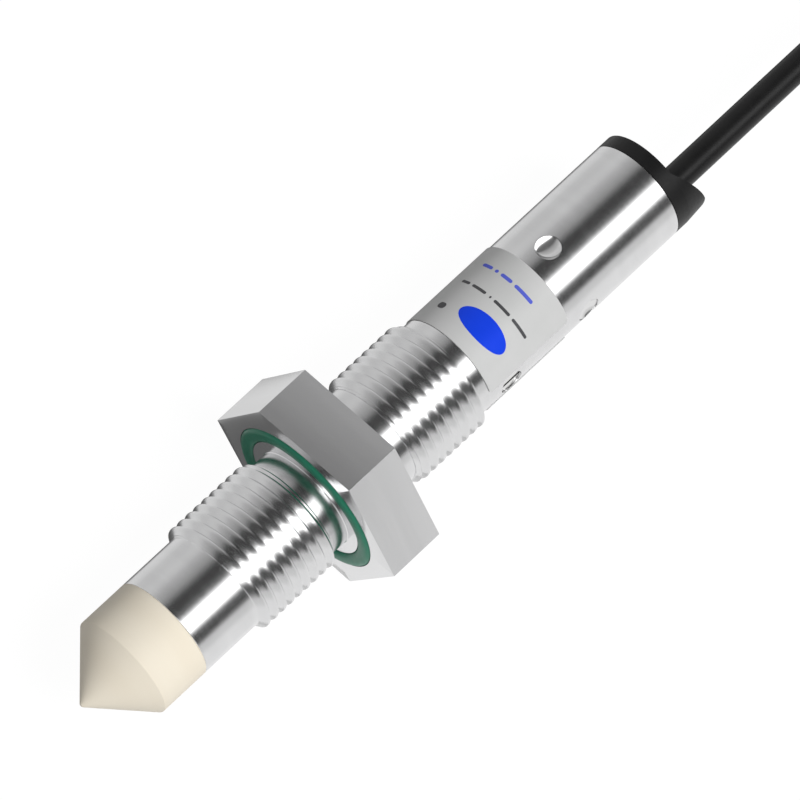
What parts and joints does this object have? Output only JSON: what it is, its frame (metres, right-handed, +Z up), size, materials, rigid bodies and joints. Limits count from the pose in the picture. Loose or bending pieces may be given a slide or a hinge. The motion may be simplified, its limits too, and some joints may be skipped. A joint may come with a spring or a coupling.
{
  "type": "capacitive level sensor",
  "caption": "Slim threaded level sensor with a pointed plastic sensing tip, a sealing hexagon, lamp windows, a trimmer and a fixed lead.",
  "frame": {"origin": "centre of the hexagon's front face, on the sensor's axis", "axes": "+X along the sensor's axis from the sensing tip towards the lead, +Z up out of the hexagon's top flat, +Y to the side"},
  "size_m": [0.1886, 0.0317, 0.019],
  "materials": {
    "housing_steel": "turned and polished stainless steel",
    "tip_plastic": "machined cream plastic, matt",
    "seal_rubber": "black sealing rubber",
    "face_seal_rubber": "green sealing rubber, satin",
    "brass_parts": "turned brass",
    "insulator_plastic": "white insulating plastic",
    "tinned_copper": "tinned copper",
    "board_laminate": "glass fibre board with green resist",
    "chip_plastic": "moulded black epoxy",
    "chip_ceramic": "fired ceramic with plated ends",
    "lamp_plastic": "clear yellow lamp resin",
    "window_plastic": "clear glossy plastic over a bright metal seat",
    "trimmer_plastic": "moulded dark plastic",
    "trimmer_metal": "plated screw head",
    "cap_plastic": "moulded black plastic, satin",
    "core_brown": "brown wire insulation",
    "core_black": "black wire insulation",
    "core_blue": "blue wire insulation",
    "label_film": "silver-grey printed film",
    "cable_jacket": "smooth black cable jacket",
    "tie_plastic": "thin black wrapping band"
  },
  "bodies": {
    "root": {"housing": "housing_steel", "sensing_tip": "tip_plastic", "tip_seal": "seal_rubber", "face_seal": "face_seal_rubber", "sensing_electrode": "brass_parts", "insulator_spool": "insulator_plastic", "guard_ring": "brass_parts", "electrode_pin": "brass_parts", "guard_lead": "tinned_copper", "board_holder": "cap_plastic", "circuit_board": "board_laminate", "oscillator_chip": "chip_plastic", "controller_chip": "chip_plastic", "voltage_regulator": "chip_plastic", "output_transistor": "chip_plastic", "protection_diode": "chip_plastic", "chip_capacitors": "chip_ceramic", "chip_resistors": "chip_ceramic", "solder_pads": "tinned_copper", "status_led_near": "lamp_plastic", "status_led_far": "lamp_plastic", "light_guide": "window_plastic", "led_window_1": "window_plastic", "led_window_2": "window_plastic", "led_window_3": "window_plastic", "led_window_4": "window_plastic", "trimmer_body": "trimmer_plastic", "end_cap": "cap_plastic", "cap_seal": "seal_rubber", "cable_ferrule": "tinned_copper", "inner_core_brown": "core_brown", "inner_core_black": "core_black", "inner_core_blue": "core_blue", "label": "label_film", "cable": "cable_jacket", "cable_coil": "cable_jacket", "cable_tie": "tie_plastic", "core_brown": "core_brown", "core_black": "core_black", "core_blue": "core_blue", "wire_tips": "tinned_copper"},
    "trimmer_rotor": {"trimmer_screw": "trimmer_metal"}
  },
  "joints": [
    {"name": "sensitivity_trimmer", "type": "hinge", "parent": "root", "child": "trimmer_rotor", "pos_m": [0.021, 0, 0], "axis": [0, -1, 0], "range_deg": [-135, 135]}
  ]
}
